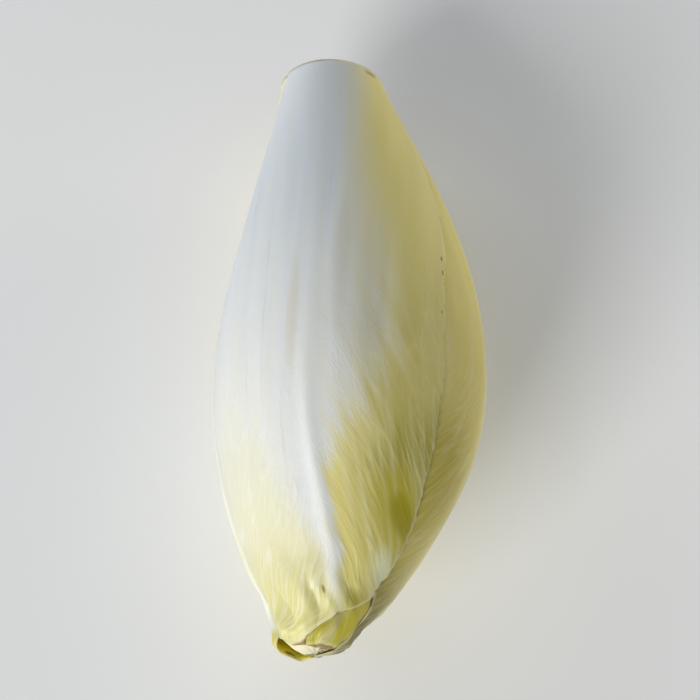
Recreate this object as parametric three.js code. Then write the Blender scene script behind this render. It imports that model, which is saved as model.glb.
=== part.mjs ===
// A head of Belgian endive, or chicon, lying on its side: a short cut stem and sixteen leaves,
// wrapped one over the other in a spiral. Each leaf and the stem is a closed solid of its own.
//
// Millimetres, +Z up, resting on the plane z = 0. The cut butt faces +Y and the leaf tips point
// to -Y. A place on the head is given by three numbers: its distance from the butt along the
// head's axis, its bearing round that axis (0 at the top, a quarter turn towards +X), and its
// depth below the head's outer skin. The leaves are laid from the outermost inwards, and each
// one lies just under what is over it.
import * as THREE from "three";

const TURN = 2 * Math.PI;
const DEGREE = Math.PI / 180;

// ---- The head's outer skin ----
const HEAD_LENGTH = 150;
const BUTT_RADIUS = 12;
const BELLY_RADIUS = 30.2;
const TIP_RADIUS = 6.2;
const BELLY_AT = 84;
const BUTT_FLARE = 1.15; // over 1 keeps the butt slender before it swells to the belly
const OVAL_SHARE = 0.015; // how much wider than high the section is
const THREE_SIDED_SHARE = 0.018; // the three outermost leaves make the section a soft triangle
const THREE_SIDED_BEARING = -14 * DEGREE;

// ---- The head's axis ----
const AXIS_HEIGHT = 28.4; // over the resting place, so the underside is pressed flat there
const RESTS_AT = 74;
const AXIS_RISE = 0.07; // the head leans a little on its butt side, with its tip raised
const AXIS_BOW = 6.4; // sideways, over BOW_REACH from BOW_AT
const BOW_AT = 65;
const BOW_REACH = 80;

// ---- The leaves, counted from 0 at the outermost ----
const LEAF_COUNT = 16;
const FIRST_BEARING = -20 * DEGREE;
const SPIRAL_STEP = 137.5 * DEGREE; // the golden angle between one leaf and the next
const FRONT_HALF_WIDTH = 35; // the outermost leaf, at its widest
const OUTER_HALF_WIDTH = 43; // the second leaf
const HEART_HALF_WIDTH = 19; // the innermost leaf
const WIDEST_AT = 75;
const BASE_WIDTH_SHARE = 0.3; // a leaf's width where it leaves the stem
const TIP_CUT = 0.995; // the last row stands this far along the ellipse that ends a leaf
const WIDEST_SPREAD = 110 * DEGREE; // a leaf wraps no more than this to either side
const LEAVES_AT_BUTT = 5; // these start at the cut, and the rest higher up the stem
const HEART_STARTS_AT = 38;
const LONGEST_LEAF = 6;
const FRONT_TIP_SHORT = 9; // the outermost leaf ends this far short of the head's tip
const HEART_TIP_SHORT = 36;

// ---- Leaf thickness ----
const RIB_AT_BUTT = 3.4;
const RIB_AT_TIP = 1.0;
const BLADE_AT_BUTT = 1.8;
const BLADE_AT_TIP = 0.8;
const RIB_SPREAD = 0.42; // of the leaf's half width
const EDGE_THINNING = 0.62;
const THINNEST = 0.5;
const MOST_OF_RADIUS = 0.18; // a leaf takes no more than this of the radius left to it
const GAP = 0.5; // between one leaf and the next

// ---- The stem ----
const STEM_RADIUS = 11;
const STEM_LENGTH = 44;
const STEM_SIDES = 20;
const STEM_RINGS = 9;

// ---- The grid that holds how deep the leaves laid so far reach ----
const ROWS = 76;
const COLUMNS = 72;
const SMOOTHING = 2; // cells

const lerp = (from, to, share) => from + (to - from) * share;
const wrapped = (angle) => angle - TURN * Math.round(angle / TURN);

function skinRadius(along) {
  if (along < BELLY_AT) {
    const swell = Math.sin((Math.PI / 2) * (along / BELLY_AT)) ** BUTT_FLARE;
    return lerp(BUTT_RADIUS, BELLY_RADIUS, swell);
  }
  const taper = (along - BELLY_AT) / (HEAD_LENGTH - BELLY_AT);
  return lerp(TIP_RADIUS, BELLY_RADIUS, Math.cos((Math.PI / 2) * taper));
}

function axisHeight(along) {
  return AXIS_HEIGHT + AXIS_RISE * (along - RESTS_AT);
}

// The skin's distance from the axis. Under the belly the resting plane presses it flat.
function skinAt(along, bearing) {
  const oval = -OVAL_SHARE * Math.cos(2 * bearing);
  const threeSided = THREE_SIDED_SHARE * Math.cos(3 * (bearing - THREE_SIDED_BEARING));
  const free = skinRadius(along) * (1 + oval + threeSided);
  const down = -Math.cos(bearing);
  return down > 0 ? Math.min(free, axisHeight(along) / down) : free;
}

function placeOnHead(along, bearing, radius) {
  const bow = -AXIS_BOW * ((along - BOW_AT) / BOW_REACH) ** 2;
  return new THREE.Vector3(
    bow + radius * Math.sin(bearing),
    HEAD_LENGTH / 2 - along,
    axisHeight(along) + radius * Math.cos(bearing),
  );
}

// Depth below the skin of what has been laid so far, on a grid of rows along the axis and
// columns round it.
class DepthField {
  constructor() {
    this.cells = new Float64Array(ROWS * COLUMNS);
  }

  static alongOf(row) {
    return (HEAD_LENGTH * row) / (ROWS - 1);
  }

  static bearingOf(column) {
    return (TURN * column) / COLUMNS;
  }

  cell(row, column) {
    const r = Math.min(Math.max(row, 0), ROWS - 1);
    const c = (column + COLUMNS) % COLUMNS;
    return this.cells[r * COLUMNS + c];
  }

  at(along, bearing) {
    const row = (along / HEAD_LENGTH) * (ROWS - 1);
    const column = ((bearing / TURN) * COLUMNS + 4 * COLUMNS) % COLUMNS;
    const r = Math.floor(row);
    const c = Math.floor(column);
    const near = lerp(this.cell(r, c), this.cell(r, c + 1), column - c);
    const far = lerp(this.cell(r + 1, c), this.cell(r + 1, c + 1), column - c);
    return lerp(near, far, row - r);
  }

  mapped(change) {
    const made = new DepthField();
    for (let row = 0; row < ROWS; row++) {
      for (let column = 0; column < COLUMNS; column++) {
        made.cells[row * COLUMNS + column] = change(row, column);
      }
    }
    return made;
  }

  // Each step takes the deepest neighbour and then blurs over the same reach, so that the
  // result is smooth and is nowhere less deep than before.
  smoothed() {
    let field = this;
    for (const [down, across] of [[1, 0], [0, 1]]) {
      for (let step = 0; step < SMOOTHING; step++) {
        const from = field;
        field = from.mapped((r, c) =>
          Math.max(
            from.cell(r - down, c - across),
            from.cell(r, c),
            from.cell(r + down, c + across),
          ),
        );
      }
      for (let step = 0; step < SMOOTHING; step++) {
        const from = field;
        field = from.mapped(
          (r, c) =>
            0.25 * from.cell(r - down, c - across) +
            0.5 * from.cell(r, c) +
            0.25 * from.cell(r + down, c + across),
        );
      }
    }
    return field;
  }
}

function leafNumber(index) {
  const inward = Math.max(0, index - LEAVES_AT_BUTT + 1) / (LEAF_COUNT - LEAVES_AT_BUTT);
  const outer = Math.max(0, LONGEST_LEAF - index) / LONGEST_LEAF;
  const inner = Math.max(0, index - LONGEST_LEAF) / (LEAF_COUNT - 1 - LONGEST_LEAF);
  const widthShare = (index - 1) / (LEAF_COUNT - 2);
  return {
    bearing: FIRST_BEARING + index * SPIRAL_STEP,
    start: HEART_STARTS_AT * inward ** 1.1,
    tip: HEAD_LENGTH - FRONT_TIP_SHORT * outer ** 1.4 - HEART_TIP_SHORT * inner ** 1.6,
    halfWidth:
      index === 0 ? FRONT_HALF_WIDTH : lerp(OUTER_HALF_WIDTH, HEART_HALF_WIDTH, widthShare),
  };
}

// Half the leaf's width, measured over the curve, at a distance from the butt.
function halfWidthAt(leaf, along) {
  const widest = lerp(leaf.start, WIDEST_AT, 0.9);
  if (along < widest) {
    const back = (widest - along) / (widest - leaf.start);
    return leaf.halfWidth * (1 - (1 - BASE_WIDTH_SHARE) * back ** 2);
  }
  const out = (TIP_CUT * (along - widest)) / (leaf.tip - widest);
  return leaf.halfWidth * Math.sqrt(1 - out ** 2);
}

// The angle that the leaf reaches to either side of its rib.
function spreadAt(leaf, laid, along) {
  const radius = skinAt(along, leaf.bearing) - laid.at(along, leaf.bearing);
  return Math.min(halfWidthAt(leaf, along) / radius, WIDEST_SPREAD);
}

// Thickness at a share of the half width from the rib, within the radius left.
function thicknessAt(along, across, radiusLeft) {
  const share = along / HEAD_LENGTH;
  const rib = lerp(RIB_AT_BUTT, RIB_AT_TIP, share);
  const blade = lerp(BLADE_AT_BUTT, BLADE_AT_TIP, share);
  const ribbed = blade + (rib - blade) * Math.exp(-((across / RIB_SPREAD) ** 2));
  const wanted = ribbed * (1 - EDGE_THINNING * across ** 4);
  return Math.max(THINNEST, Math.min(wanted, MOST_OF_RADIUS * radiusLeft));
}

// A leaf is a thin box, bent round the head: its width runs from edge to edge, its height from
// the stem to the tip, and its depth from the inner face to the outer.
function leafGeometry(leaf, laid, across, lengthwise) {
  const box = new THREE.BoxGeometry(2, 1, 1, across, lengthwise, 1);
  const points = box.getAttribute("position");
  for (let i = 0; i < points.count; i++) {
    const side = points.getX(i);
    const up = points.getY(i) + 0.5;
    const along = lerp(leaf.start, leaf.tip, up * (1 + 0.5 * (1 - up)));
    const bearing = leaf.bearing - side * spreadAt(leaf, laid, along);
    const outer = skinAt(along, bearing) - laid.at(along, bearing);
    const inward = points.getZ(i) > 0 ? 0 : thicknessAt(along, side, outer);
    points.setXYZ(i, ...placeOnHead(along, bearing, outer - inward));
  }
  return box;
}

// How deep a leaf's inner face lies, with the gap under it, or 0 where the leaf isn't.
function undersideOf(leaf, laid, row, column) {
  const along = DepthField.alongOf(row);
  const bearing = DepthField.bearingOf(column);
  if (along < leaf.start || along > leaf.tip) return 0;
  const across = wrapped(bearing - leaf.bearing) / spreadAt(leaf, laid, along);
  if (Math.abs(across) > 1) return 0;
  const depth = laid.cell(row, column);
  return depth + thicknessAt(along, across, skinAt(along, bearing) - depth) + GAP;
}

function deepenedBy(leaf, laid, field) {
  return field.mapped((row, column) =>
    Math.max(field.cell(row, column), undersideOf(leaf, laid, row, column)),
  );
}

// The stem fills what the leaves' feet leave free, and ends in a rounded cone.
function stemGeometry(taken) {
  const profile = [new THREE.Vector2(0, 0), new THREE.Vector2(0.5, 0)];
  for (let ring = 0; ring < STEM_RINGS; ring++) {
    profile.push(new THREE.Vector2(1, (STEM_LENGTH * ring) / STEM_RINGS));
  }
  profile.push(new THREE.Vector2(0, STEM_LENGTH));
  const stem = new THREE.LatheGeometry(profile, STEM_SIDES);
  const points = stem.getAttribute("position");
  for (let i = 0; i < points.count; i++) {
    const along = points.getY(i);
    const share = Math.hypot(points.getX(i), points.getZ(i));
    const bearing = -Math.atan2(points.getX(i), points.getZ(i));
    const cone = STEM_RADIUS * Math.sqrt(1 - (along / STEM_LENGTH) ** 2);
    const free = skinAt(along, bearing) - taken.at(along, bearing);
    points.setXYZ(i, ...placeOnHead(along, bearing, share * Math.min(cone, free)));
  }
  return stem;
}

function leafMaterial(inwardShare) {
  const colour = new THREE.Color(0xecead2).lerp(new THREE.Color(0xe6dc86), inwardShare);
  return new THREE.MeshStandardMaterial({ color: colour, roughness: 0.5, metalness: 0 });
}

function stemMaterial() {
  return new THREE.MeshStandardMaterial({ color: 0xdccfae, roughness: 0.7, metalness: 0 });
}

function namedMesh(name, geometry, material) {
  const mesh = new THREE.Mesh(geometry, material);
  mesh.name = name;
  return mesh;
}

// Where a leaf lies in the head decides its name and how finely it is meshed.
function layerOf(index) {
  if (index < 3) return { name: `outer_leaf_${index + 1}`, across: 14, lengthwise: 17 };
  if (index < 10) return { name: `inner_leaf_${index - 2}`, across: 12, lengthwise: 15 };
  return { name: `heart_leaf_${index - 9}`, across: 9, lengthwise: 9 };
}

const head = new THREE.Group();
let laid = new DepthField(); // smoothed, for the next leaf to lie on
let taken = new DepthField(); // by the leaves themselves
for (let index = 0; index < LEAF_COUNT; index++) {
  const leaf = leafNumber(index);
  const layer = layerOf(index);
  const geometry = leafGeometry(leaf, laid, layer.across, layer.lengthwise);
  head.add(namedMesh(layer.name, geometry, leafMaterial(index / LEAF_COUNT)));
  taken = deepenedBy(leaf, laid, taken);
  laid = deepenedBy(leaf, laid, laid).smoothed();
}
head.add(namedMesh("stem", stemGeometry(taken.smoothed()), stemMaterial()));

// The part's origin is on the resting plane, under the middle of the head.
const middle = new THREE.Box3().setFromObject(head).getCenter(new THREE.Vector3());
head.position.set(-middle.x, -middle.y, 0);

const endive = new THREE.Group();
endive.add(head);

export default endive;
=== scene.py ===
import bpy
import numpy as np
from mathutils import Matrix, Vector


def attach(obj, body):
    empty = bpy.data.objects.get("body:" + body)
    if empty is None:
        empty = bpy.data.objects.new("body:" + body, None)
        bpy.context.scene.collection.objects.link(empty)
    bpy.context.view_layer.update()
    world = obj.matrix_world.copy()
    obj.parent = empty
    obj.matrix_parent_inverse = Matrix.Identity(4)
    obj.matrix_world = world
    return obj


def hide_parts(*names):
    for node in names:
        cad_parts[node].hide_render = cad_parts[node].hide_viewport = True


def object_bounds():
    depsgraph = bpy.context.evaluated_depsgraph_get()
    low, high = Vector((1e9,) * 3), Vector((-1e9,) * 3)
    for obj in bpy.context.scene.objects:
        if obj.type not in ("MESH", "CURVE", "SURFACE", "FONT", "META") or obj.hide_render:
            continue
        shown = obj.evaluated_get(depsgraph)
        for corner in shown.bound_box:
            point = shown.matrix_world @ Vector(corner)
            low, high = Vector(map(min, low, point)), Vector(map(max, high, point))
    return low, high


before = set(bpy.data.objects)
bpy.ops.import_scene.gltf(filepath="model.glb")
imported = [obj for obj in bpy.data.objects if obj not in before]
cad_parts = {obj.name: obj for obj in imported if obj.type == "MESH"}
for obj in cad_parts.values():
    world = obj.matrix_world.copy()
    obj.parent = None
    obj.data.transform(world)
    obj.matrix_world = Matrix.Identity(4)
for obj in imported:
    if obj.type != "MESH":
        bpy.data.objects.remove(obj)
cad_low, cad_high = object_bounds()


# ---- The front leaf ----
# The outermost leaf, over the top of the head: a broad, thick, white rib that thins out into a
# pale blade with raised veins. Its foot clasps the stem at the cut, and its tip is a little torn.
# The head's outer skin and the way that every leaf is laid under the others start here.

TURN = 2 * np.pi
head_length = cad_high.y - cad_low.y
belly_radius = 0.0301
belly_at = 0.0838  # from the butt, as every place along the head is
butt_radius = 0.0119
butt_swell = 1.17
tip_radius = 0.0056
tip_closing = 0.985
axis_height = 0.0284  # over the surface, where the head rests
axis_rise = 0.07
rests_at = 0.074
axis_bow = 0.0066  # sideways, at bow_reach away from bow_at
bow_at = 0.0656
bow_reach = 0.08
oval_share = 0.015
three_sided_share = 0.018
three_sided_turn = 0.733
broad_fold, sharp_fold = 0.11, 0.17  # as shares of the radius, at the very end
crumple_across, crumple_up = 0.0008, 0.0007
crease_across, crease_up = 0.00020, 0.00012
crumple_from = 0.124  # past this the leaf ends are creased and pressed on each other
closes_from = 0.1458  # past this they bend in over the middle


def skin_radius(along):
    """The skin's distance from the axis, before it is oval, pressed or creased."""
    swell = np.sin(np.pi / 2 * np.clip(along / belly_at, 0, 1)) ** butt_swell
    taper = np.clip((along - belly_at) / (head_length - belly_at), 0, 1)
    behind = butt_radius + (belly_radius - butt_radius) * swell
    ahead = tip_radius + (belly_radius - tip_radius) * np.cos(np.pi / 2 * taper)
    closing = np.clip((along - closes_from) / (head_length - closes_from), 0, 1)
    return np.where(along < belly_at, behind, ahead * np.sqrt(1 - tip_closing * closing**2))


def axis_at(along):
    return axis_height + axis_rise * (along - rests_at)


def creased(along):
    """0 on the smooth head and 1 at the very end."""
    return np.clip((along - crumple_from) / (head_length - crumple_from), 0, 1) ** 1.4


def skin(along, bearing):
    """The skin's distance from the axis. Bearing 0 is up, and a quarter turn is towards +X."""
    oval = 1 - oval_share * np.cos(2 * bearing)
    oval = oval + three_sided_share * np.cos(3 * bearing + three_sided_turn)
    broad = np.abs(np.cos(2.5 * bearing + 1.2 + 60 * along)) - 0.64
    sharp = np.abs(np.cos(4.5 * bearing - 140 * along)) - 0.64
    folds = creased(along) * (broad_fold * broad + sharp_fold * creased(along) * sharp)
    free = skin_radius(along) * (oval + folds)
    down = -np.cos(bearing)
    return np.where(down > 0.2, np.minimum(free, axis_at(along) / np.maximum(down, 0.2)), free)


def place(along, bearing, radius):
    """Points in the frame, in metres, in an array with a last axis of three."""
    bow = -axis_bow * ((along - bow_at) / bow_reach) ** 2
    x = bow + radius * np.sin(bearing)
    y = head_length / 2 - along + 0 * bearing
    z = axis_at(along) + radius * np.cos(bearing)
    # The ends of all the leaves are crumpled together, so that they stay in their order.
    push = creased(along)
    wide = crumple_across * np.sin(430 * y + 260 * z + 1.0)
    fine = crease_across * np.sin(900 * x + 1100 * y - 600 * z)
    high = crumple_up * np.sin(520 * x - 300 * y + 0.6)
    high = high + crease_up * np.sin(1500 * x + 900 * y)
    x, z = x + push * (wide + fine), z + push * high
    return np.stack(np.broadcast_arrays(x, y, z), axis=-1)


# How deep the leaves laid so far reach below the skin, on rows along the axis and columns round it
field_rows, field_columns = 151, 240
field_along = np.linspace(0, head_length, field_rows)[:, None]
field_bearing = np.linspace(0, TURN, field_columns, endpoint=False)[None, :]
laid = np.zeros((field_rows, field_columns))

skin_x = place(field_along, field_bearing, skin(field_along, field_bearing))[..., 0]
bow_centre = (skin_x.min() + skin_x.max()) / 2


def depth_at(along, bearing):
    """The laid depth between the field's rows and columns."""
    row = np.clip(along / head_length, 0, 1) * (field_rows - 1)
    column = np.mod(bearing, TURN) / TURN * field_columns
    r = np.minimum(row.astype(int), field_rows - 2)
    c = column.astype(int) % field_columns
    beside = (c + 1) % field_columns
    share = column - np.floor(column)
    near = laid[r, c] * (1 - share) + laid[r, beside] * share
    far = laid[r + 1, c] * (1 - share) + laid[r + 1, beside] * share
    return near + (far - near) * (row - r)


def rows_beside(field):
    padded = np.pad(field, ((1, 1), (0, 0)), mode="edge")
    return padded[:-2], padded[2:]


def columns_beside(field):
    return np.roll(field, 1, axis=1), np.roll(field, -1, axis=1)


def smoothed(field):
    """One step of growing and four of blurring, along the head and then round it."""
    for beside in (rows_beside, columns_beside):
        before, after = beside(field)
        field = np.maximum(field, np.maximum(before, after))
        for _ in range(4):
            before, after = beside(field)
            field = 0.25 * before + 0.5 * field + 0.25 * after
    return field


turns_from = 0.143  # where a leaf's tip starts to turn
widest_by = 0.075  # a leaf is widest at nine tenths of the way from its foot to here
widest_spread = np.radians(118)  # to either side of the rib


class Leaf:
    """Where a leaf lies: its rib's bearing, and its foot and tip along the head.

    Each half is the width from the rib to the margin, the share of it left at the foot, two
    numbers for its outline towards the tip (how long it stays wide, and how blunt it ends), and
    how far short of the tip it ends. The sways swing the rib round the head at the foot and
    towards the tip, and the turn is at the very tip, all in degrees.
    """

    def __init__(self, bearing, foot, tip, left, right=None, foot_sway=0, tip_sway=0, tip_turn=0):
        self.bearing = np.radians(bearing)
        self.foot = foot
        self.tip = tip
        self.left = left
        self.right = right or left
        self.foot_sway = np.radians(foot_sway)
        self.tip_sway = np.radians(tip_sway)
        self.tip_turn = np.radians(tip_turn)
        self.widest = foot + 0.9 * (widest_by - foot)

    def rib(self, along):
        """The rib's bearing, which swings a little towards either end."""
        back = np.clip((self.widest - along) / self.widest, 0, 1)
        out = np.clip((along - self.widest) / (self.tip - self.widest), 0, 1)
        end = np.clip((along - turns_from) / (self.tip - turns_from), 0, 1) ** 1.5
        sway = self.foot_sway * back**2 + self.tip_sway * out**4 + self.tip_turn * end
        return self.bearing + sway

    def width(self, along, half):
        widest, foot_share, fullness, bluntness, short = half
        back = np.clip((self.widest - along) / (self.widest - self.foot), 0, 1)
        out = 0.9995 * np.clip((along - self.widest) / (self.tip - short - self.widest), 0, 1)
        behind = 1 - (1 - foot_share) * back**2
        ahead = (1 - out**fullness) ** (1 / bluntness)
        return widest * np.where(along < self.widest, behind, ahead)

    def spread(self, along, side):
        """The angle from the rib to the margin, on the left where side is below 0."""
        rib = self.rib(along)
        radius = skin(along, rib) - depth_at(along, rib)
        reach = np.where(side < 0, self.width(along, self.left), self.width(along, self.right))
        return np.minimum(reach / radius, widest_spread)


rib_at_butt, rib_at_end = 0.0034, 0.0011  # thicknesses
blade_at_butt, blade_at_end = 0.0018, 0.0007
thinnest = 0.00025
air = 0.00012  # between one leaf and the next


def thickness(along, side, radius):
    """Thick at the rib and the foot, thin at the margin and the tip."""
    share = along / head_length
    rib = rib_at_butt + (rib_at_end - rib_at_butt) * share
    blade = blade_at_butt + (blade_at_end - blade_at_butt) * share
    ribbed = blade + (rib - blade) * np.exp(-((side / 0.42) ** 2))
    thinned = ribbed * (1 - 0.82 * np.abs(side) ** 5)
    return np.clip(thinned, thinnest, 0.2 * radius)


def add_to_field(leaf):
    """Adds the leaf's thickness, and a hair of air under it, to what is laid."""
    global laid
    turned = np.mod(field_bearing - leaf.rib(field_along) + np.pi, TURN) - np.pi
    side = turned / leaf.spread(field_along, turned)
    radius = skin(field_along, field_bearing) - laid
    inside = (np.abs(side) <= 1) & (field_along >= leaf.foot) & (field_along <= leaf.tip)
    thick = thickness(field_along, np.clip(side, -1, 1), radius)
    laid = laid + smoothed(np.where(inside, thick + air, 0))


def solid(name, points, faces):
    mesh = bpy.data.meshes.new(name)
    mesh.from_pydata(points.reshape(-1, 3).tolist(), [], faces)
    mesh.shade_smooth()
    made = bpy.data.objects.new(name, mesh)
    bpy.context.scene.collection.objects.link(made)
    return made


curls_from = 0.141
curl_width = 0.0026
buried = 0.0004  # a face this deep under other leaves gets no relief


def leaf_object(name, leaf, rows, columns, seed, curl=0.0, dents=()):
    """A closed sheet of quads: the outer face, the inner face and the strip round the edge.

    The curl lifts a tongue at the tip. Each dent is where it lies along and across the leaf, its
    half length, half width and depth.
    """
    draw = np.random.default_rng(seed)
    phases = draw.uniform(0, TURN, 4)
    up = 1 - (1 - np.linspace(0, 1, rows)[:, None]) ** 1.5
    side = np.linspace(-1, 1, columns)[None, :]
    row_along = leaf.foot + (leaf.tip - leaf.foot) * up
    wander = 0.012 * np.sin(row_along * 140 + phases[0])
    wander = wander + 0.008 * np.sin(row_along * 390 + phases[1])
    nicks = 0.02 * up**3 * np.sin(row_along * 1900 + phases[2])
    nicks = nicks * np.sin(row_along * 710 + phases[3])
    spread = leaf.spread(row_along, side)
    bearing = leaf.rib(row_along) + side * spread * (1 + wander + nicks)
    along = row_along + 0 * side
    depth = depth_at(along, bearing)
    skin_there = skin(along, bearing)
    outer = skin_there - depth
    inner = outer - thickness(along, side, outer)
    across = (bearing - leaf.rib(row_along)) * skin(row_along, leaf.rib(row_along))
    for dent_along, dent_across, long, wide, deep in dents:
        off = ((along - dent_along) / long) ** 2 + ((across - dent_across) / wide) ** 2
        outer = outer - deep * np.exp(-off)
    tongue = np.exp(-((across / curl_width) ** 2))
    end = np.clip((along - curls_from) / (leaf.tip - curls_from), 0, 1)
    lifted = curl * tongue * end**2
    points = np.concatenate([
        place(along, bearing, outer + lifted),
        place(along, bearing, inner + lifted),
    ])
    points[..., 0] -= bow_centre
    number = np.arange(2 * rows * columns).reshape(2, rows, columns)
    out, back = number[0], number[1]
    strips = [
        (out[:-1, :-1], out[1:, :-1], out[1:, 1:], out[:-1, 1:]),
        (back[:-1, :-1], back[:-1, 1:], back[1:, 1:], back[1:, :-1]),
        (out[:-1, 0], back[:-1, 0], back[1:, 0], out[1:, 0]),
        (out[:-1, -1], out[1:, -1], back[1:, -1], back[:-1, -1]),
        (out[0, :-1], out[0, 1:], back[0, 1:], back[0, :-1]),
        (out[-1, :-1], back[-1, :-1], back[-1, 1:], out[-1, 1:]),
    ]
    faces = np.concatenate([np.stack([c.ravel() for c in corners], axis=1) for corners in strips])
    made = solid(name, points, faces.tolist())
    edge = np.minimum((1 - np.abs(side)) * spread * skin_there, leaf.tip - along)
    shown = np.exp(-((depth / buried) ** 2))
    for key, outside, inside in (
        ("along", along, along),
        ("across", across, across),
        ("edge", edge, edge),
        ("shown", shown, 0 * shown),
    ):
        layer = made.data.attributes.new(key, "FLOAT", "POINT")
        layer.data.foreach_set("value", np.concatenate([outside, inside]).ravel())
    return made


def add_node(tree, kind, inputs, **settings):
    made = tree.nodes.new(kind)
    for key, value in settings.items():
        setattr(made, key, value)
    for key, value in inputs.items():
        if isinstance(value, bpy.types.NodeSocket):
            tree.links.new(value, made.inputs[key])
        else:
            made.inputs[key].default_value = value
    return made


def maths(tree, operation, *values):
    return add_node(tree, "ShaderNodeMath", dict(enumerate(values)), operation=operation).outputs[0]


def ramp(tree, value, low, high, at_low=0.0, at_high=1.0):
    """Runs smoothly from at_low to at_high as value goes from low to high."""
    inputs = {0: value, 1: low, 2: high, 3: at_low, 4: at_high}
    made = add_node(tree, "ShaderNodeMapRange", inputs, interpolation_type="SMOOTHSTEP")
    return made.outputs[0]


def noise(tree, vector, scale, detail=2.0, dimensions="2D"):
    inputs = {"Vector": vector, "Scale": scale, "Detail": detail}
    made = add_node(tree, "ShaderNodeTexNoise", inputs, noise_dimensions=dimensions)
    return made.outputs[0]


def joined(tree, x, y, z=0.0):
    return add_node(tree, "ShaderNodeCombineXYZ", {0: x, 1: y, 2: z}).outputs[0]


def product(tree, first, *others):
    for other in others:
        first = maths(tree, "MULTIPLY", first, other)
    return first


vein_slant = 0.42
vein_spacing, vein_length = 0.0020, 0.019
fine_spacing, fine_length = 0.0009, 0.006


def vein_pattern(tree, along, across, spacing, length, seed):
    """1 on a vein and 0 between them. Veins leave the rib at a slant, fork, meet and fade."""
    out = maths(tree, "ABSOLUTE", across)
    side = maths(tree, "SIGN", across)
    start = maths(tree, "MULTIPLY_ADD", side, 31.7, seed)

    # A slow drift bends the veins, and a quick shake makes them uneven
    slow = joined(tree, product(tree, along, 42.0), product(tree, out, 90.0), start)
    drift = maths(tree, "SUBTRACT", noise(tree, slow, 1.0, 1.0, "3D"), 0.5)
    quick = joined(tree, product(tree, along, 190.0), product(tree, out, 420.0), start)
    shake = maths(tree, "SUBTRACT", noise(tree, quick, 1.0, 2.0, "3D"), 0.5)

    # The veins are the borders of cells that are long and narrow, and lie along the slant
    sideways = maths(tree, "SUBTRACT", out, product(tree, along, vein_slant))
    over = maths(tree, "MULTIPLY_ADD", drift, 2.6, maths(tree, "DIVIDE", sideways, spacing))
    over = maths(tree, "MULTIPLY_ADD", shake, 0.45, over)
    run = maths(tree, "DIVIDE", maths(tree, "MULTIPLY_ADD", out, vein_slant, along), length)
    run = maths(tree, "MULTIPLY_ADD", shake, 0.3, run)
    cell = joined(tree, maths(tree, "ADD", over, start), run)
    cells = add_node(
        tree,
        "ShaderNodeTexVoronoi",
        {"Vector": cell, "Scale": 1.0, "Randomness": 1.0},
        voronoi_dimensions="2D",
        feature="DISTANCE_TO_EDGE",
    )
    line = ramp(tree, cells.outputs["Distance"], 0.0, 0.17, 1.0, 0.0)

    # Here and there they fade
    faded = joined(tree, product(tree, along, 75.0), product(tree, out, 230.0), start)
    strong = ramp(tree, noise(tree, faded, 1.0, 2.0, "3D"), 0.34, 0.62, 0.1, 1.0)
    return product(tree, line, strong)


def rib_shape(tree, along, across):
    """1 on the rib and 0 on the blade. The rib widens from the foot and narrows past the belly."""
    width = maths(
        tree,
        "SUBTRACT",
        ramp(tree, along, 0.020, 0.075, 0.0105, 0.0195),
        ramp(tree, along, 0.086, 0.124, 0.0, 0.0180),
    )
    away = maths(tree, "DIVIDE", maths(tree, "ABSOLUTE", across), width)
    return ramp(tree, away, 0.15, 1.35, 1.0, 0.0)


def bell(tree, value, middle, wide):
    """1 where value is at the middle, falling to 0 on both sides."""
    off = maths(tree, "DIVIDE", maths(tree, "SUBTRACT", value, middle), wide)
    return maths(tree, "EXPONENT", product(tree, off, off, -1.0))


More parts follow.
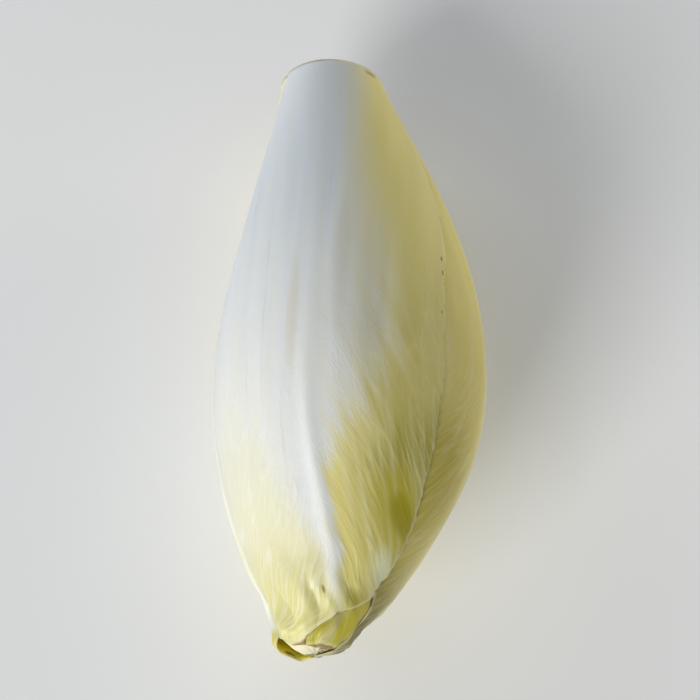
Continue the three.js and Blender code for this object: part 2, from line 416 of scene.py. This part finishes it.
def leaf_relief_tree():
    """Raises the veins, the rib's ridge and its soft flutes on a leaf's shown face."""
    tree = bpy.data.node_groups.new("leaf relief", "GeometryNodeTree")
    sizes = {
        "Vein spacing": vein_spacing,
        "Vein length": vein_length,
        "Vein height": 0.00014,
        "Flute spacing": 0.0085,
        "Flute height": 0.0011,
        "Groove depth": 0.0,
        "Ridge height": 0.0007,
        "Ripple height": 0.0005,
        "Seed": 1.0,
    }
    tree.interface.new_socket("Geometry", in_out="INPUT", socket_type="NodeSocketGeometry")
    for key, value in sizes.items():
        made = tree.interface.new_socket(key, in_out="INPUT", socket_type="NodeSocketFloat")
        made.default_value = value
    tree.interface.new_socket("Material", in_out="INPUT", socket_type="NodeSocketMaterial")
    tree.interface.new_socket("Geometry", in_out="OUTPUT", socket_type="NodeSocketGeometry")
    given = tree.nodes.new("NodeGroupInput").outputs
    seed = given["Seed"]

    def stored(key):
        made = add_node(tree, "GeometryNodeInputNamedAttribute", {"Name": key}, data_type="FLOAT")
        return made.outputs[0]

    along, across, edge, shown = (stored(k) for k in ("along", "across", "edge", "shown"))
    veins = vein_pattern(tree, along, across, given["Vein spacing"], given["Vein length"], seed)
    rib = rib_shape(tree, along, across)
    blade = maths(tree, "SUBTRACT", 1.0, rib)
    vein_height = product(tree, veins, given["Vein height"], blade, ramp(tree, along, 0.045, 0.095))

    flute_at = joined(
        tree, product(tree, along, 9.0), maths(tree, "DIVIDE", across, given["Flute spacing"]), seed
    )
    wave = maths(tree, "SUBTRACT", noise(tree, flute_at, 1.0, 1.0, "3D"), 0.5)
    kept_to = product(
        tree, ramp(tree, along, 0.004, 0.03), ramp(tree, along, 0.085, 0.115, 1.0, 0.0)
    )
    flutes = product(tree, wave, given["Flute height"], kept_to)

    beside_rib = bell(tree, across, 0.0150, 0.0050)
    grooved = product(
        tree, ramp(tree, along, 0.022, 0.060), ramp(tree, along, 0.080, 0.108, 1.0, 0.0)
    )
    groove = product(tree, beside_rib, grooved, given["Groove depth"], -1.0)

    ridge_share = product(tree, bell(tree, across, 0.0, 0.0017), ramp(tree, along, 0.080, 0.118))
    ridge_end = ramp(tree, along, 0.138, 0.144, 1.0, 0.0)
    ridge = product(tree, ridge_share, given["Ridge height"], ridge_end)

    spots = joined(tree, product(tree, along, 105.0), product(tree, across, 150.0), seed)
    ripple = maths(tree, "SUBTRACT", noise(tree, spots, 1.0, 2.0, "3D"), 0.5)
    rippled = ramp(tree, along, 0.05, 0.130, 0.25, 0.6)
    ripple = product(tree, ripple, given["Ripple height"], rippled)

    # All of it fades where other leaves cover the face, at the ground and at the edge
    raised = maths(tree, "ADD", vein_height, flutes)
    height = maths(tree, "ADD", raised, maths(tree, "ADD", ridge, ripple))
    height = maths(tree, "ADD", height, groove)
    position = tree.nodes.new("GeometryNodeInputPosition").outputs[0]
    over_ground = add_node(tree, "ShaderNodeSeparateXYZ", {0: position}).outputs[2]
    off_ground = ramp(tree, over_ground, 0.0002, 0.0030)
    height = product(tree, height, shown, off_ground, ramp(tree, edge, 0.0, 0.002, 0.1, 1.0))

    normal = tree.nodes.new("GeometryNodeInputNormal").outputs[0]
    push = add_node(tree, "ShaderNodeVectorMath", {0: normal, "Scale": height}, operation="SCALE")
    moved = add_node(
        tree, "GeometryNodeSetPosition", {"Geometry": given["Geometry"], "Offset": push.outputs[0]}
    )
    real = add_node(tree, "GeometryNodeRealizeInstances", {"Geometry": moved.outputs[0]})
    painted = add_node(
        tree,
        "GeometryNodeSetMaterial",
        {"Geometry": real.outputs[0], "Material": given["Material"]},
    )
    add_node(tree, "NodeGroupOutput", {0: painted.outputs[0]})
    return tree


relief_tree = leaf_relief_tree()


def with_relief(made, material, **sizes):
    """Runs the relief on a leaf and makes the result its plain mesh."""
    modifier = made.modifiers.new("relief", "NODES")
    modifier.node_group = relief_tree
    wanted = {key.replace("_", " ").capitalize(): value for key, value in sizes.items()}
    wanted["Material"] = material
    for socket in relief_tree.interface.items_tree:
        if socket.in_out == "INPUT" and socket.name in wanted:
            modifier[socket.identifier] = wanted[socket.name]
    bpy.context.view_layer.update()
    seen = made.evaluated_get(bpy.context.evaluated_depsgraph_get())
    final = bpy.data.meshes.new_from_object(seen)
    made.modifiers.clear()
    made.data = final
    if not final.materials:
        final.materials.append(material)
    return made


def colour(code):
    """A hex colour as linear light, with alpha."""
    parts = [int(code[i : i + 2], 16) / 255 for i in (0, 2, 4)]
    return [((c + 0.055) / 1.055) ** 2.4 if c > 0.04045 else c / 12.92 for c in parts] + [1.0]


def blend_colours(tree, share, first, second):
    made = add_node(tree, "ShaderNodeMix", {0: share, 6: first, 7: second}, data_type="RGBA")
    return made.outputs[2]


milk = colour("ddd9c0")
left_vein, right_vein = colour("f6f3e2"), colour("e0d894")
streak_cream = colour("ece6b8")
stain_beige = colour("d3c4a0")
edge_straw, edge_brown = colour("dcd6a4"), colour("7d5a22")
cut_cream, cut_tan = colour("dfd6bb"), colour("cbb592")


def leaf_material(
    name,
    rib,
    blade,
    green,
    tip,
    seed,
    # The default foot colour is a bluish white: the foot's own white, with painted cool shade in
    # its blue tint.
    foot="dde3e9",
    left_blade=None,
    greenness=1.0,
    lined=1.0,
    marks=(),
):
    """Crisp waxy leaf: white rib, pale blade, yellow-green between the veins towards the tip.

    Each mark is where it lies along and across the leaf, its half length and half width, how
    strong it is, and its colour.
    """
    material = bpy.data.materials.new(name)
    material.use_nodes = True
    tree = material.node_tree
    shader = tree.nodes["Principled BSDF"]

    def stored(key):
        return add_node(tree, "ShaderNodeAttribute", {}, attribute_name=key).outputs["Fac"]

    along, across, edge = (stored(k) for k in ("along", "across", "edge"))
    veins = vein_pattern(tree, along, across, vein_spacing, vein_length, seed)
    fine_veins = vein_pattern(tree, along, across, fine_spacing, fine_length, seed + 3.0)
    stretched = joined(tree, product(tree, along, 20.0), product(tree, across, 420.0), seed)
    streaks = noise(tree, stretched, 1.0, 3.0, "3D")
    slanted = maths(tree, "MULTIPLY_ADD", along, -vein_slant, maths(tree, "ABSOLUTE", across))
    fanned_at = joined(tree, product(tree, along, 26.0), product(tree, slanted, 330.0), seed)
    fanned = maths(tree, "SUBTRACT", noise(tree, fanned_at, 1.0, 3.0, "3D"), 0.5)
    cloudy = joined(tree, product(tree, along, 45.0), product(tree, across, 60.0), seed)
    clouds = noise(tree, cloudy, 1.0, 3.0, "3D")

    # The rib is frayed where it meets the blade, and a left blade with its own colour comes over
    # its left half
    right = ramp(tree, across, -0.003, 0.004)
    fray = ramp(tree, along, 0.05, 0.10, 0.0, 0.004 + 0.011 * lined)
    frayed = maths(tree, "MULTIPLY_ADD", fanned, fray, across)
    rib_share = rib_shape(tree, along, frayed)
    if left_blade:
        reach = ramp(tree, along, 0.095, 0.142, 0.022, 0.0020)
        beside = maths(tree, "MULTIPLY_ADD", fanned, 0.8, maths(tree, "DIVIDE", across, reach))
        cover = product(
            tree, ramp(tree, along, 0.075, 0.138), ramp(tree, beside, -1.1, -0.15, 1.0, 0.0)
        )
        left_cover = maths(tree, "SUBTRACT", 1.0, cover)
        rib_share = ramp(tree, right, 0.0, 1.0, left_cover, rib_share)

    # The green comes in past the foot, outward from the rib
    late = ramp(tree, along, 0.046, 0.099)
    on_right = maths(tree, "MULTIPLY_ADD", right, 0.85, 0.15) if left_blade else 1.0
    beside_rib = rib_shape(tree, along, product(tree, frayed, 0.45))
    outward = ramp(tree, maths(tree, "ABSOLUTE", frayed), 0.0, 0.021, 0.0, 1.0)
    outward = product(tree, outward, maths(tree, "MULTIPLY_ADD", beside_rib, -0.7, 1.0))
    patchy = ramp(tree, clouds, 0.25, 0.7, 0.75, 1.0)
    greening = product(tree, late, on_right, outward, greenness, patchy)

    # The blade and its green, with a milky patch by the belly, then the tip
    base = blend_colours(tree, right, colour(left_blade or blade), colour(blade))
    milky = product(tree, bell(tree, along, 0.088, 0.022), bell(tree, frayed, 0.010, 0.009), 0.55)
    base = blend_colours(tree, milky, base, milk)
    base = blend_colours(tree, greening, base, colour(green))
    base = blend_colours(tree, ramp(tree, along, 0.122, 0.147, 0.0, 0.95), base, colour(tip))

    # Pale veins, pale streaks, and the rib with its beige stains
    lines = maths(tree, "MAXIMUM", veins, product(tree, fine_veins, 0.45))
    pale_lines = product(tree, lines, ramp(tree, along, 0.070, 0.105), lined, 0.42)
    line_colour = blend_colours(tree, right, left_vein, right_vein)
    base = blend_colours(tree, pale_lines, base, line_colour)
    streaky = product(
        tree,
        ramp(tree, streaks, 0.42, 0.70),
        ramp(tree, along, 0.085, 0.125, 0.1, 0.42),
        lined,
    )
    base = blend_colours(tree, streaky, base, streak_cream)
    rib_end = ramp(tree, along, 0.134, 0.143, 1.0, 0.25)
    pale = product(tree, rib_share, rib_end, ramp(tree, streaks, 0.3, 0.7, 0.85, 1.0))
    # The foot colour runs into the rib's white. Where the foot is the bluish default, its blue tint
    # is painted cool shade.
    white = blend_colours(tree, ramp(tree, along, 0.030, 0.095), colour(foot), colour(rib))
    base = blend_colours(tree, pale, base, white)
    beige = product(tree, ramp(tree, streaks, 0.60, 0.74), ramp(tree, along, 0.03, 0.05), 0.35)
    base = blend_colours(tree, beige, base, stain_beige)

    for mark_along, mark_across, long, wide, strength, code in marks:
        first = maths(tree, "DIVIDE", maths(tree, "SUBTRACT", along, mark_along), long)
        second = maths(tree, "DIVIDE", maths(tree, "SUBTRACT", across, mark_across), wide)
        squared = maths(tree, "ADD", product(tree, first, first), product(tree, second, second))
        ragged = maths(tree, "MULTIPLY_ADD", maths(tree, "SUBTRACT", clouds, 0.5), 1.5, squared)
        mark = ramp(tree, ragged, 0.0, 1.3, strength, 0.0)
        base = blend_colours(tree, mark, base, colour(code))

    # The edge thins to straw, and is brown where it has dried or torn
    thin = product(
        tree,
        ramp(tree, edge, 0.0002, 0.0010, 1.0, 0.0),
        ramp(tree, along, 0.100, 0.135),
        0.6,
    )
    base = blend_colours(tree, thin, base, edge_straw)
    bitten = noise(tree, joined(tree, product(tree, along, 260.0), seed), 1.0, 3.0)
    browned = product(
        tree,
        ramp(tree, edge, 0.0001, 0.0005, 1.0, 0.0),
        ramp(tree, bitten, 0.50, 0.60),
        ramp(tree, along, 0.120, 0.140, 0.3, 0.9),
    )
    base = blend_colours(tree, browned, base, edge_brown)

    # The cut foot has dried, in patches
    position = add_node(tree, "ShaderNodeTexCoord", {}).outputs["Object"]
    dried = noise(tree, position, 300.0, 3.0, "3D")
    face = blend_colours(tree, ramp(tree, dried, 0.45, 0.75), cut_cream, cut_tan)
    base = blend_colours(tree, ramp(tree, along, 0.0001, 0.0008), face, base)
    tree.links.new(base, shader.inputs["Base Color"])

    grain = noise(tree, position, 2400.0, 2.0, "3D")
    rough = maths(tree, "MULTIPLY_ADD", streaks, 0.20, ramp(tree, along, 0.06, 0.12, 0.46, 0.36))
    tree.links.new(rough, shader.inputs["Roughness"])
    height = maths(tree, "MULTIPLY_ADD", grain, 0.25, product(tree, streaks, 0.6))
    height = maths(tree, "MULTIPLY_ADD", product(tree, fine_veins, late), 0.25, height)
    bump = add_node(tree, "ShaderNodeBump", {"Height": height, "Strength": 0.3, "Distance": 0.0003})
    tree.links.new(bump.outputs[0], shader.inputs["Normal"])
    shader.inputs["Subsurface Weight"].default_value = 0.3
    shader.inputs["Subsurface Radius"].default_value = (1.0, 0.9, 0.4)
    shader.inputs["Subsurface Scale"].default_value = 0.003
    shader.inputs["Specular IOR Level"].default_value = 0.4
    shader.inputs["Coat Weight"].default_value = 0.06
    shader.inputs["Coat Roughness"].default_value = 0.22
    return material


def stands_for(piece, node):
    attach(piece, "root")
    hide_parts(node)


front = Leaf(
    bearing=-18,
    foot=0,
    tip=0.1487,
    left=(0.0335, 0.32, 4, 2, 0),
    right=(0.0335, 0.5, 3.0, 1.35, 0.0050),
    foot_sway=12,
    tip_sway=52,
    tip_turn=-60,
)
front_leaf = leaf_object(
    "front_leaf", front, 320, 150, seed=11, dents=[(0.1232, 0.0192, 0.0034, 0.0027, 0.00032)]
)
front_paint = leaf_material(
    "front leaf",
    rib="eaebe9",
    blade="efe08e",
    green="918900",
    tip="d6cc78",
    seed=4.0,
    left_blade="eee9c4",
    marks=[
        (0.1222, 0.0185, 0.0090, 0.0075, 0.6, "b0a41c"),
        (0.1232, 0.0192, 0.0044, 0.0040, 1.0, "a09400"),
        (0.0800, -0.0032, 0.0180, 0.0016, 0.22, "cbb98c"),
        (0.0660, 0.0070, 0.0200, 0.0022, 0.16, "b9ad8e"),
        # A painted highlight: a pale patch on the right blade near the tip, where a glint falls on
        # a bump.
        (0.1345, 0.0125, 0.0050, 0.0034, 0.75, "e2e4bc"),
        (0.1412, 0.0048, 0.0030, 0.0032, 0.7, "8f8500"),
        (0.1396, -0.0025, 0.0009, 0.0004, 0.7, "7a5a1c"),
        (0.0610, 0.0322, 0.0008, 0.0004, 0.8, "8a6a2c"),
        (0.0652, 0.0326, 0.0010, 0.0004, 0.7, "8a6a2c"),
        (0.0765, 0.0322, 0.0007, 0.0004, 0.7, "8a6a2c"),
        (0.0016, 0.0120, 0.0010, 0.0022, 0.6, "a3784c"),
    ],
)
with_relief(front_leaf, front_paint, seed=4.0, groove_depth=0.0012)
stands_for(front_leaf, "outer_leaf_1")
add_to_field(front)


# ---- The two side leaves ----
# The next two leaves wrap the head from the right and from the left and meet underneath. They are
# thinner and smoother than the front leaf, cream where they face out. The left one's end curls out.

right_side = Leaf(
    bearing=117.5,
    foot=0,
    tip=0.150,
    left=(0.045, 0.45, 1.6, 1.1, 0),
    right=(0.043, 0.45, 2, 2, 0),
    tip_sway=-10,
)
right_leaf = leaf_object("right_leaf", right_side, 240, 150, seed=12)
right_paint = leaf_material(
    "right leaf",
    rib="ebe5b8",
    blade="e9da84",
    green="a99a26",
    # A dark olive tip: the leaf's own yellow-green end, darkened further with painted shade.
    tip="665c00",
    seed=9.0,
    foot="efe6c6",
    lined=0.3,
)
with_relief(right_leaf, right_paint, seed=9.0, vein_height=0.00006)
stands_for(right_leaf, "outer_leaf_2")
add_to_field(right_side)

left_side = Leaf(
    bearing=255, foot=0, tip=0.1495, left=(0.0412, 0.45, 2, 2, 0), right=(0.030, 0.7, 2, 1.1, 0)
)
left_leaf = leaf_object("left_leaf", left_side, 240, 150, seed=13, curl=0.0042)
left_paint = leaf_material(
    "left leaf",
    rib="eeeee4",
    blade="ece8cc",
    green="dcd79e",
    tip="e4e7cf",
    seed=14.0,
    foot="efe6c6",
    greenness=0.7,
    lined=0.5,
    marks=[
        (0.1484, 0.0, 0.0050, 0.0052, 1.0, "ccbc2c"),
        (0.1490, -0.0008, 0.0009, 0.0009, 1.0, "2a2210"),
    ],
)
with_relief(left_leaf, left_paint, seed=14.0, vein_height=0.00008)
stands_for(left_leaf, "outer_leaf_3")
add_to_field(left_side)


# ---- The inner leaves ----
# Seven leaves under the outer three, each a golden angle on from the one over it. Only their
# creased, yellow tips and brown edges come out at the end of the head.

inner_ends = [
    (0.1494, "b0a300"),
    (0.1492, "ddd27a"),
    (0.1499, "ece2b2"),
    (0.1495, "cbbe50"),
    (0.1489, "dace74"),
    (0.1499, "ece2b2"),
    (0.1490, "d2c65e"),
]
first_inner = 3  # counted from the outermost leaf, which is 0
first_bearing = -20
golden_angle = 137.5
highest_foot = 0.038


def hidden_leaf(number, tip):
    """The leaf with this number from the outside in. The later, the narrower and the higher up."""
    return Leaf(
        bearing=first_bearing + golden_angle * number,
        foot=highest_foot * max(0, (number - 4) / 11) ** 1.1,
        tip=tip,
        left=(0.043 - 0.024 * (number - 1) / 14, 0.3, 2, 2, 0),
    )


for order, (end, tip_colour) in enumerate(inner_ends):
    inner_leaf = hidden_leaf(order + first_inner, end)
    piece = leaf_object(f"inner_leaf_{order + 1}", inner_leaf, 170, 90, seed=20 + order)
    paint = leaf_material(
        f"inner leaf {order + 1}",
        rib="ecead8",
        blade="e6dfa8",
        green="cbc161",
        tip=tip_colour,
        seed=20.0 + order,
        lined=0.3,
    )
    with_relief(piece, paint, seed=20.0 + order, ridge_height=0.0003)
    stands_for(piece, f"inner_leaf_{order + 1}")
    add_to_field(inner_leaf)


# ---- The heart leaves ----
# The smallest leaves, folded round the end of the stem in the middle of the bud. They are closed
# in by the others and as yellow as the blade gets.

heart_count = 6
first_heart = 10
shortest_by = 0.036
heart_paint = leaf_material(
    "heart leaf",
    rib="eae5c2",
    blade="e0d484",
    green="d3c868",
    tip="cfc04e",
    seed=40.0,
)
for order in range(heart_count):
    number = order + first_heart
    inward = (number - 6) / 9
    heart = hidden_leaf(number, head_length - shortest_by * inward**1.6)
    piece = leaf_object(f"heart_leaf_{order + 1}", heart, 90, 48, seed=40 + order)
    with_relief(piece, heart_paint, seed=40.0 + order, ridge_height=0.0002)
    stands_for(piece, f"heart_leaf_{order + 1}")
    add_to_field(heart)


# ---- The stem ----
# The short cone that every leaf grows from, cut off flat with a knife. The cut face has dried to
# a dull cream with rust-brown patches, and the leaves' feet grow into it all round.

stem_length = 0.044
stem_radius = 0.012
stem_rings, stem_sides = 60, 160
face_rings = 24
join_below = 0.0006  # the join with the feet, under the skin at the cut
join_slope = 2
stem_cream, stem_tan, stem_rust = colour("e6dfc6"), colour("cbb48e"), colour("a06f4e")


def stem_object():
    """A closed cone: rings across the cut face, which dips a little, then rings up the side."""
    turn = np.linspace(0, TURN, stem_sides, endpoint=False)[None, :]
    up = np.linspace(0, 1, stem_rings)[:, None]
    along = stem_length * up
    free = skin(along, turn) - depth_at(along, turn) + 0.0003
    cone = stem_radius * np.sqrt(np.clip(1 - up**2, 0, 1))
    fused = skin(along, turn) - join_below - join_slope * along
    radius = np.maximum(np.maximum(np.minimum(free, cone), fused), 0.0002)
    side_points = place(np.maximum(along, 0.0002) + 0 * turn, turn + 0 * along, radius)
    share = np.linspace(0.02, 1, face_rings, endpoint=False)[:, None]
    dip = 0.0002 + 0.0005 * (1 - share**2) + 0.0001 * np.sin(6 * turn + 9 * share) * share
    face_points = place(dip + 0 * turn, turn + 0 * share, radius[:1] * share)
    points = np.concatenate([face_points, side_points])
    points[..., 0] -= bow_centre
    rings = len(points)
    number = np.arange(rings * stem_sides).reshape(rings, stem_sides)
    beside = np.roll(number, -1, axis=1)
    corners = (number[:-1], number[1:], beside[1:], beside[:-1])
    faces = np.stack([c.ravel() for c in corners], axis=1).tolist()
    faces.append(number[0].tolist())
    faces.append(number[-1].tolist()[::-1])
    return solid("stem_core", points, faces)


def stem_material():
    material = bpy.data.materials.new("stem")
    material.use_nodes = True
    tree = material.node_tree
    shader = tree.nodes["Principled BSDF"]
    position = add_node(tree, "ShaderNodeTexCoord", {}).outputs["Object"]
    clouds = noise(tree, position, 260.0, 4.0, "3D")
    fine = noise(tree, position, 1500.0, 3.0, "3D")
    base = blend_colours(tree, ramp(tree, clouds, 0.4, 0.75), stem_cream, stem_tan)
    base = blend_colours(tree, ramp(tree, fine, 0.62, 0.8, 0.0, 0.4), base, stem_rust)
    tree.links.new(base, shader.inputs["Base Color"])
    shader.inputs["Roughness"].default_value = 0.7
    bump = add_node(tree, "ShaderNodeBump", {"Height": fine, "Strength": 0.5, "Distance": 0.0004})
    tree.links.new(bump.outputs[0], shader.inputs["Normal"])
    return material


stem_core = stem_object()
stem_core.data.materials.append(stem_material())
stands_for(stem_core, "stem")


# ---- Floor, light and camera ----
# A plain pale floor, a broad soft light from the front left, a weak cool one from the back left
# and a low warm one from the right. The camera looks down on the head from its tip end.

floor_mesh = bpy.data.meshes.new("floor")
floor_reach = 15.0
floor_corners = [
    (-floor_reach, -floor_reach, 0),
    (floor_reach, -floor_reach, 0),
    (floor_reach, floor_reach, 0),
    (-floor_reach, floor_reach, 0),
]
floor_mesh.from_pydata(floor_corners, [], [(0, 1, 2, 3)])
floor = bpy.data.objects.new("floor", floor_mesh)
bpy.context.scene.collection.objects.link(floor)
floor_paint = bpy.data.materials.new("floor")
floor_paint.use_nodes = True
floor_shader = floor_paint.node_tree.nodes["Principled BSDF"]
floor_shader.inputs["Base Color"].default_value = (0.84, 0.84, 0.84, 1)
floor_shader.inputs["Roughness"].default_value = 0.9
floor_shader.inputs["Emission Color"].default_value = (0.97, 0.98, 1.0, 1)
floor_shader.inputs["Emission Strength"].default_value = 0.10
floor_mesh.materials.append(floor_paint)

head_centre = Vector((0, 0, (cad_low.z + cad_high.z) / 2))


def aimed(made, spot):
    made.location = spot
    made.rotation_euler = (head_centre - spot).to_track_quat("-Z", "Y").to_euler()
    bpy.context.scene.collection.objects.link(made)
    return made


def soft_light(name, spot, size, power, tint):
    lamp = bpy.data.lights.new(name, "AREA")
    lamp.size = size
    lamp.energy = power
    lamp.color = tint
    return aimed(bpy.data.objects.new(name, lamp), Vector(spot))


soft_light("key", (-1.45, -2.15, 1.15), 1.25, 73.0, (1.0, 0.99, 0.97))
soft_light("back", (-1.90, 2.00, 1.12), 1.5, 16.0, (0.88, 0.94, 1.0))
soft_light("side", (2.60, 1.20, 0.42), 1.25, 31.0, (1.0, 0.92, 0.74))

world = bpy.data.worlds.new("studio")
world.use_nodes = True
background = world.node_tree.nodes["Background"]
background.inputs["Color"].default_value = (0.86, 0.93, 1.0, 1)
background.inputs["Strength"].default_value = 0.23
bpy.context.scene.world = world

elevation = np.radians(61.7)
distance = 0.62
lens = bpy.data.cameras.new("camera")
lens.lens = 142
lens.sensor_width = 36
lens.clip_start = 0.01
camera = bpy.data.objects.new("camera", lens)
camera_spot = head_centre + distance * Vector((0, -np.cos(elevation), np.sin(elevation)))
aimed(camera, camera_spot)
bpy.context.scene.camera = camera
bpy.context.scene.view_settings.view_transform = "Standard"
